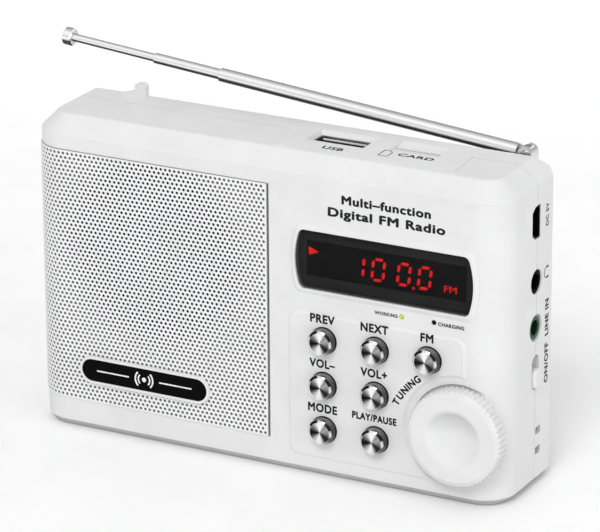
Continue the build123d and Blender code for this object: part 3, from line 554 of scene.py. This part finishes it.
def grille_cell(points, faces, a0, a1, z0, z1):
    """One brick of the grille's face with a hole through its middle."""
    start = len(points)
    centre, level = (a0 + a1) / 2, (z0 + z1) / 2
    rim = []
    for i in range(HOLE_SIDES):
        angle = 2 * math.pi * i / HOLE_SIDES
        u, v = math.cos(angle), math.sin(angle)
        reach = min((a1 - a0) / 2 / max(abs(u), 1e-9), (z1 - z0) / 2 / max(abs(v), 1e-9))
        rim.append((u, v, reach))
    points += [grille_point(centre + r * u, level + r * v, 0) for u, v, r in rim]
    for depth in (0, GRILLE_THICK):
        points += [grille_point(centre + HOLE_RADIUS * u, level + HOLE_RADIUS * v, depth) for u, v, _ in rim]
    for i in range(HOLE_SIDES):
        j = (i + 1) % HOLE_SIDES
        for ring in (0, HOLE_SIDES):
            faces.append((start + ring + j, start + ring + i, start + ring + HOLE_SIDES + i,
                          start + ring + HOLE_SIDES + j))
    corner = len(points)
    points += [grille_point(a, z, 0) for a, z in ((a0, z0), (a0, z1), (a1, z1), (a1, z0))]
    for i, a, z in ((0, a0, z0), (1, a0, z1), (2, a1, z1), (3, a1, z0)):
        toward = math.atan2(z - level, a - centre) % (2 * math.pi)
        before = int(toward // (2 * math.pi / HOLE_SIDES))
        after = (before + 1) % HOLE_SIDES
        faces.append((corner + i, start + before, start + after))


def perforated_grille():
    """The perforated sheet, with a plain border and folded edges."""
    points, faces = [], []
    left, right = GRILLE_MARGIN, GRILLE_LENGTH - GRILLE_MARGIN
    rows = int((GRILLE_TOP - GRILLE_BOTTOM - 2 * GRILLE_MARGIN) / HOLE_ROW)
    low = (GRILLE_TOP + GRILLE_BOTTOM - rows * HOLE_ROW) / 2
    columns = int((right - left) / HOLE_PITCH - 0.5)
    step = (right - left) / (columns + 0.5)
    for row in range(rows):
        z0 = low + row * HOLE_ROW
        z1 = z0 + HOLE_ROW
        indent = step / 2 if row % 2 else 0.0
        for column in range(columns):
            a0 = left + indent + column * step
            a1 = left + indent + (column + 1) * step
            grille_cell(points, faces, a0, a1, z0, z1)
        spare = (left, left + indent) if row % 2 else (right - step / 2, right)
        grille_quad(points, faces, *spare, z0, z1)
    high = low + rows * HOLE_ROW
    bands = int(GRILLE_LENGTH / HOLE_PITCH)
    for band in range(bands):
        a0, a1 = GRILLE_LENGTH * band / bands, GRILLE_LENGTH * (band + 1) / bands
        grille_quad(points, faces, a0, a1, GRILLE_BOTTOM, low)
        grille_quad(points, faces, a0, a1, high, GRILLE_TOP)
        for z, flip in ((GRILLE_BOTTOM, 1), (GRILLE_TOP, -1)):
            start = len(points)
            points += [grille_point(a0, z, 0), grille_point(a1, z, 0), grille_point(a1, z, GRILLE_FOLD),
                       grille_point(a0, z, GRILLE_FOLD)]
            faces.append(tuple(range(start, start + 4))[::flip])
    grille_quad(points, faces, 0, left, low, high)
    grille_quad(points, faces, right, GRILLE_LENGTH, low, high)
    for a, flip in ((0.0, -1), (GRILLE_LENGTH, 1)):
        start = len(points)
        points += [grille_point(a, GRILLE_BOTTOM, 0), grille_point(a, GRILLE_TOP, 0),
                   grille_point(a, GRILLE_TOP, GRILLE_FOLD), grille_point(a, GRILLE_BOTTOM, GRILLE_FOLD)]
        faces.append(tuple(range(start, start + 4))[::flip])
    sheet = piece("perforated_grille", points, faces, materials["grille"])
    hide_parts("speaker_grille")


def grille_painted_shade():
    """A dark sheet of painted shade close behind the whole perforated sheet, bent round the corner with it.
    """
    points, faces = [], []
    for band in range(SHADE_SHEET_BANDS + 1):
        along = SHADE_SHEET_ENDS + (GRILLE_LENGTH - 2 * SHADE_SHEET_ENDS) * band / SHADE_SHEET_BANDS
        for z in (GRILLE_BOTTOM + SHADE_SHEET_EDGES, GRILLE_TOP - SHADE_SHEET_EDGES):
            points.append(grille_point(along, z, SHADE_SHEET_DEEP))
    for band in range(SHADE_SHEET_BANDS):
        a = 2 * band
        faces.append((a, a + 1, a + 3, a + 2))
    painted_shade_fibre = piece("grille_painted_shade", points, faces, materials["painted_shade_fibre"])


def groove_painted_shadow():
    """A black strip down the groove at the grille's right edge: painted shadow in the groove."""
    points, faces = [], []
    clear, short, near, far = 0.04, 0.1, FRONT + 0.25, FRONT + 0.6
    left, right = GRILLE_RIGHT + clear, GROOVE_RIGHT - clear
    low, high = GRILLE_BOTTOM + short, GRILLE_TOP - short
    prism(points, faces, [(left, low), (right, low), (right, high), (left, high)], near, far)
    shadow_strip = piece("groove_painted_shadow", points, faces, materials["painted_shade_fibre"])


perforated_grille()
grille_painted_shade()
groove_painted_shadow()


# ------------------------------------------------------------------ lettering
def text_mesh(text, size, spacing):
    """A line of text as a flat slab in X and Y, centred on the origin, size in mm."""
    curve = bpy.data.curves.new("text", "FONT")
    curve.body = text
    curve.size = size
    curve.space_character = spacing
    curve.extrude = PRINT / 2
    curve.align_x = "CENTER"
    curve.align_y = "CENTER"
    curve.resolution_u = 4
    holder = bpy.data.objects.new("text", curve)
    mesh = bpy.data.meshes.new_from_object(holder)
    bpy.data.objects.remove(holder)
    bpy.data.curves.remove(curve)
    return mesh


FACING = {
    "front": Matrix(((1, 0, 0), (0, 0, -1), (0, 1, 0))),
    "top": Matrix(((1, 0, 0), (0, 1, 0), (0, 0, 1))),
    "right": Matrix(((0, 0, 1), (0, -1, 0), (1, 0, 0))),   # reads upwards
}


# A line is made bold by printing it again to each side: (right, up), in units of how bold it is.
BOLD_SHIFTS = ((0, 0), (1, 0.5), (-1, -0.5), (0.5, -1), (-0.5, 1))
BOLD_SPACING = 2.4


def lettering(name, lines, material):
    """Joins lines of text into one piece. Each line: (text, centre, facing, size, bold, turn, wide).

    Each copy of a bold line lies a hair deeper than the last, so no two faces coincide.
    """
    joined = bmesh.new()
    for text, centre, facing, size, bold, turn, wide in lines:
        spin = Matrix.Rotation(math.radians(turn), 3, "Z")
        stretch = Matrix.Diagonal((wide, 1, 1))
        for step, (u, v) in enumerate(BOLD_SHIFTS):
            mesh = text_mesh(text, size, 1.0 + BOLD_SPACING * bold / size)
            mesh.transform(Matrix.Translation((u * bold, v * bold, -step * PRINT / 20)))
            place = (FACING[facing] @ spin @ stretch).to_4x4()
            place.translation = Vector(centre)
            mesh.transform(place)
            mesh.transform(Matrix.Scale(MM, 4))
            joined.from_mesh(mesh)
            bpy.data.meshes.remove(mesh)
    mesh = bpy.data.meshes.new(name)
    joined.to_mesh(mesh)
    joined.free()
    obj = bpy.data.objects.new(name, mesh)
    bpy.context.collection.objects.link(obj)
    finish(obj, material)
    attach(obj, "case")


def stroke(path, width):
    """A line through points (u, v) as thin patches, one for each step."""
    shapes = []
    for (ax, ay), (bx, by) in zip(path, path[1:]):
        half = width / 2 / math.hypot(bx - ax, by - ay)
        nx, ny = (ay - by) * half, (bx - ax) * half
        shapes.append([(ax - nx, ay - ny), (bx - nx, by - ny), (bx + nx, by + ny), (ax + nx, ay + ny)])
    return shapes


def arc(radius, start, end, step=10, centre=(0, 0)):
    """Points (u, v) along an arc, from one angle to another in degrees."""
    return [(centre[0] + radius * math.cos(math.radians(t)), centre[1] + radius * math.sin(math.radians(t)))
            for t in range(start, end + 1, step)]


def printed(name, shapes, facing, centre, material):
    """A piece of thin printed shapes: convex anticlockwise outlines in mm on a plane that faces one way."""
    points, faces = [], []
    for outline in shapes:
        start, count = len(points), len(outline)
        for depth in (PRINT / 2, -PRINT / 2):
            points += [Vector(centre) + FACING[facing] @ Vector((u, v, depth)) for u, v in outline]
        faces.append(tuple(range(start, start + count)))
        faces.append(tuple(range(start + 2 * count - 1, start + count - 1, -1)))
        for i in range(count):
            j = (i + 1) % count
            faces.append((start + j, start + i, start + count + i, start + count + j))
    piece(name, points, faces, material)


# The label over each button: (text, size, how wide).
LABELS = {"prev": ("PREV", 2.75, 0.95), "next": ("NEXT", 2.75, 0.92), "fm": ("FM", 2.75, 0.95),
          "volume_down": ("VOL\u2013", 2.7, 0.90), "volume_up": ("VOL+", 2.7, 0.92),
          "mode": ("MODE", 2.75, 0.90), "play_pause": ("PLAY/PAUSE", 2.25, 0.835)}
LABEL_SHIFT, LABEL_RISE, LABEL_BOLD = -0.45, 4.95, 0.11   # from the button's middle
TITLE_X, TITLE_BOLD = 31.25, 0.12
# The word along the knob's upper left: its arc, where it starts, and half the degrees each letter takes.
TUNING_X, TUNING_Z, TUNING_RADIUS = 51.8, 12.6, 20.0
TUNING_START = 152.0
TUNING_LETTERS = (("T", 2.6), ("U", 2.8), ("N", 2.6), ("I", 1.0), ("N", 2.6), ("G", 2.6))
TUNING_SIZE, TUNING_BOLD = 2.25, 0.1


def front_lettering():
    """The control labels and the title on the front."""
    panel = PANEL - PRINT / 2
    face = FRONT - PRINT / 2
    lines = []
    for button, column, row in BUTTONS:
        text, size, wide = LABELS[button]
        x, z = BUTTON_X + column * PITCH_X, BUTTON_Z - row * PITCH_Z
        place = (x + LABEL_SHIFT, panel, z + LABEL_RISE)
        lines.append((text, place, "front", size, LABEL_BOLD, 0, wide))
    lines.append(("Multi\u2013function", (TITLE_X, face, 67.1), "front", 2.75, TITLE_BOLD, 0, 1.23))
    lines.append(("Digital FM Radio", (TITLE_X, face, 63.9), "front", 2.8, TITLE_BOLD, 0, 1.38))
    lines.append(("WORKING", (31.4, face, 42.2), "front", 1.1, 0.04, 0, 1.0))
    lines.append(("CHARGING", (47.3, face, 42.1), "front", 1.15, 0.05, 0, 1.0))
    angle, before = TUNING_START, 0.0
    for letter, width in TUNING_LETTERS:
        angle -= width + before if before else 0.0
        before = width
        x = TUNING_X + TUNING_RADIUS * math.cos(math.radians(angle))
        z = TUNING_Z + TUNING_RADIUS * math.sin(math.radians(angle))
        lines.append((letter, (x, panel, z), "front", TUNING_SIZE, TUNING_BOLD, angle - 90, 1.0))
    lettering("front_lettering", lines, materials["ink"])


def top_lettering():
    """The socket labels on top, with an outlined card."""
    pad = TOP_PAD + PRINT / 2
    lines = [("USB", (14.2, -7.1, pad), "top", 2.5, 0.07, 0, 1.15),
             ("CARD", (33.3, -4.2, pad), "top", 2.3, 0.07, 0, 1.35)]
    lettering("top_lettering", lines, materials["ink"])
    card = [(-1.1, -1.9), (1.1, -1.9), (1.1, 1.0), (0.2, 1.9), (-1.1, 1.9), (-1.1, -1.9)]
    printed("card_mark", stroke(card, 0.2), "top", (26.2, -4.6, pad), materials["ink"])


def side_lettering():
    """The socket labels on the right side, reading upwards, with a headphone symbol."""
    side = RIGHT_SIDE + PRINT / 2
    lines = [("DC 5V", (side, 7.4, 63.3), "right", 1.9, 0.05, 0, 0.95),
             ("LINE IN", (side, 7.9, 38.95), "right", 2.5, 0.08, 0, 1.0),
             ("ON/OFF", (side, 7.9, 28.1), "right", 2.5, 0.08, 0, 1.0)]
    lettering("side_lettering", lines, materials["ink"])
    band = stroke(arc(1.3, 0, 180, 15), 0.22)
    pads = [[(u - 0.25, -0.9), (u + 0.25, -0.9), (u + 0.25, 0.0), (u - 0.25, 0.0)] for u in (-1.2, 1.2)]
    printed("headphone_mark", band + pads, "right", (side, 7.4, 49.8), materials["ink"])


front_lettering()
top_lettering()
side_lettering()


# ------------------------------------------------------------------ display
DIGIT_WIDE, DIGIT_TALL, DIGIT_Z = 2.75, 4.9, 49.35
BAR_WIDE, BAR_TIP, BAR_GAP = 0.62, 0.45, 0.38   # the tip as a share of the width
SLANT = 0.10               # how far the digits lean to the right, per mm of height
# The ends of each bar of a digit.
BARS = {"a": ((0, DIGIT_TALL), (DIGIT_WIDE, DIGIT_TALL)),
        "b": ((DIGIT_WIDE, DIGIT_TALL), (DIGIT_WIDE, DIGIT_TALL / 2)),
        "c": ((DIGIT_WIDE, DIGIT_TALL / 2), (DIGIT_WIDE, 0)),
        "d": ((0, 0), (DIGIT_WIDE, 0)),
        "e": ((0, DIGIT_TALL / 2), (0, 0)),
        "f": ((0, DIGIT_TALL), (0, DIGIT_TALL / 2))}
ONE, ZERO = "bc", "abcdef"
DIGITS = ((22.15, ONE), (27.2, ZERO), (33.5, ZERO), (38.6, ZERO))   # (left edge, lit bars)
DOT_X, DOT_Z, DOT_RADIUS = 37.5, 49.0, 0.32
TRIANGLE = ((11.6, 52.65), (14.0, 53.6), (11.6, 54.55))


def segment(points, faces, a, b, origin):
    """One lit bar of a digit between two ends, with pointed tips."""
    ax, az = a
    bx, bz = b
    length = math.hypot(bx - ax, bz - az)
    ux, uz = (bx - ax) / length, (bz - az) / length
    half, tip = BAR_WIDE / 2, BAR_WIDE * BAR_TIP
    shape = ((0, 0), (tip, -half), (length - tip, -half), (length, 0), (length - tip, half), (tip, half))
    outline = []
    for s, t in shape:
        x, z = ax + ux * s - uz * t, az + uz * s + ux * t
        outline.append((origin[0] + x + SLANT * z, origin[1] + z))
    prism(points, faces, outline, SEGMENT_FRONT, SEGMENT_BACK)


def lit_digits():
    """The seven-segment figures, the point, the triangle and the band mark, on the display's face."""
    points, faces = [], []
    for left, bars in DIGITS:
        for name in bars:
            (ax, az), (bx, bz) = BARS[name]
            length = math.hypot(bx - ax, bz - az)
            ux, uz = (bx - ax) / length * BAR_GAP, (bz - az) / length * BAR_GAP
            segment(points, faces, (ax + ux, az + uz), (bx - ux, bz - uz), (left, DIGIT_Z))
    dot = arc(DOT_RADIUS, 0, 330, 30, centre=(DOT_X, DOT_Z))
    for outline in (dot, TRIANGLE):
        prism(points, faces, outline, SEGMENT_FRONT, SEGMENT_BACK)
    piece("lit_segments", points, faces, materials["red"])
    place = (46.5, (SEGMENT_FRONT + SEGMENT_BACK) / 2, 50.05)
    lettering("band_mark", [("FM", place, "front", 2.2, 0.02, 0, 1.25)], materials["red"])


def rectangle(half_width, half_height):
    """The corners of a rectangle round the origin, anticlockwise."""
    return [(-half_width, -half_height), (half_width, -half_height), (half_width, half_height),
            (-half_width, half_height)]


def display_mask():
    """The dark printed mask behind the window, open round the display module."""
    outer, inner = rectangle(21.6, 6.7), rectangle(19.7, 4.15)
    points, faces = [], []
    for i in range(4):
        j = (i + 1) % 4
        corners = [outer[i], outer[j], inner[j], inner[i]]
        prism(points, faces, [(WINDOW_X + x, WINDOW_Z + z) for x, z in corners], MASK_FRONT, MASK_BACK)
    mask = piece("display_mask", points, faces, materials["mask"])


def usb_tongue_edge():
    """The pale edge of the tongue inside the USB socket."""
    points, faces = [], []
    half, low, high, near, far = 5.4, 74.5, 74.8, 1.3, 1.6
    outline = [(USB_X - half, low), (USB_X + half, low), (USB_X + half, high), (USB_X - half, high)]
    prism(points, faces, outline, near, far)
    edge = piece("usb_tongue_edge", points, faces, materials["knob"])


lit_digits()
display_mask()
usb_tongue_edge()


# ------------------------------------------------------------------ badge mark
def badge_mark():
    """A plain wave symbol: a dot between pairs of arcs, with a line to each side."""
    dot_radius, wave_radii, wave_width = 0.55, (1.5, 2.3), 0.38
    line_start, line_end, line_width = 4.0, 12.5, 0.32
    shapes = [arc(dot_radius, 0, 340, 20)]
    for turn in (0, 180):
        for radius in wave_radii:
            shapes += stroke(arc(radius, turn - 45, turn + 45, 9), wave_width)
    for side in (-1, 1):
        shapes += stroke([(side * line_start, 0), (side * line_end, 0)], line_width)
    printed("badge_mark", shapes, "front", (BADGE_X, BADGE_FACE - PRINT / 2, BADGE_Z), materials["white_ink"])


badge_mark()


# ------------------------------------------------------------------ floor, light and camera
def stage_floor():
    """A pale floor that curves up into a backdrop far behind."""
    mesh = bpy.data.meshes.new("floor")
    reach, rise, flat, bend = 6.0, 3.0, 2.5, 1.5
    profile = [(-reach, 0.0), (flat, 0.0)]
    profile += [(flat + bend * math.sin(math.radians(t)), bend - bend * math.cos(math.radians(t)))
                for t in range(10, 91, 10)]
    profile.append((flat + bend, rise))
    points = [(x, y, z) for y, z in profile for x in (-reach, reach)]
    faces = [(2 * i, 2 * i + 1, 2 * i + 3, 2 * i + 2) for i in range(len(profile) - 1)]
    mesh.from_pydata(points, [], faces)
    mesh.shade_smooth()
    floor = bpy.data.objects.new("floor", mesh)
    bpy.context.collection.objects.link(floor)
    material, nodes, links, shader = new_material("floor_paper")
    grain = noise(nodes, links, 40.0)
    tone = ramp(nodes, links, grain, (0.94, 0.94, 0.94, 1), (0.97, 0.97, 0.97, 1))
    links.new(tone, shader.inputs["Base Color"])
    settings(shader, Roughness=0.9)
    finish(floor, material)


def softbox(name, place, size, power, target=(0, 0, 0.04), spread=180):
    """A square soft light at a place in metres, aimed at a target, with its spread in degrees."""
    light = bpy.data.lights.new(name, "AREA")
    light.shape = "SQUARE"
    light.size = size
    light.energy = power
    light.spread = math.radians(spread)
    obj = bpy.data.objects.new(name, light)
    obj.location = place
    obj.rotation_euler = (Vector(target) - Vector(place)).to_track_quat("-Z", "Y").to_euler()
    bpy.context.collection.objects.link(obj)


def surroundings(strength):
    """A studio that is bright overhead and dimmer round the sides."""
    world = bpy.data.worlds.new("studio")
    world.use_nodes = True
    nodes, links = world.node_tree.nodes, world.node_tree.links
    place = nodes.new("ShaderNodeTexCoord")
    split = nodes.new("ShaderNodeSeparateXYZ")
    links.new(place.outputs["Generated"], split.inputs["Vector"])
    sky = ramp(nodes, links, split.outputs["Z"], (0.34, 0.34, 0.34, 1), (1, 1, 1, 1), 0.05, 0.75)
    links.new(sky, nodes["Background"].inputs["Color"])
    nodes["Background"].inputs["Strength"].default_value = strength
    bpy.context.scene.world = world


AZIMUTH, ELEVATION, ROLL = 28.0, 20.0, -0.33   # the camera's, in degrees
CAMERA_DISTANCE = 0.908    # from its target, in metres
CAMERA_TARGET = (0.0021, 0.0, 0.04396)
LENS = 240.3               # in mm, on a sensor 36 mm wide


def camera():
    """The camera, aimed at a target on the radio."""
    azimuth, elevation, roll = (math.radians(v) for v in (AZIMUTH, ELEVATION, ROLL))
    target = Vector(CAMERA_TARGET)
    back = Vector((math.sin(azimuth) * math.cos(elevation), -math.cos(azimuth) * math.cos(elevation),
                   math.sin(elevation)))
    level = Vector((math.cos(azimuth), math.sin(azimuth), 0))
    upright = back.cross(level)
    right = level * math.cos(roll) + upright * math.sin(roll)
    up = upright * math.cos(roll) - level * math.sin(roll)
    data = bpy.data.cameras.new("camera")
    data.lens = LENS
    data.sensor_width = 36.0
    data.sensor_fit = "HORIZONTAL"
    data.clip_start = 0.01
    data.clip_end = 50.0
    obj = bpy.data.objects.new("camera", data)
    obj.matrix_world = Matrix((right, up, back)).transposed().to_4x4()
    obj.location = target + back * CAMERA_DISTANCE
    bpy.context.collection.objects.link(obj)
    bpy.context.scene.camera = obj


stage_floor()
surroundings(0.81)
softbox("key", (0.3, -1.5, 1.5), 0.8, 17.2)
softbox("fill", (1.5, -0.5, 0.4), 0.6, 4.5)
softbox("front", (0.9, -1.7, 0.35), 0.8, 0.8)
softbox("sweep", (-0.55, 1.1, 1.0), 0.9, 7.0, target=(-0.55, 1.1, 0), spread=80)
camera()
bpy.context.scene.view_settings.view_transform = "Standard"
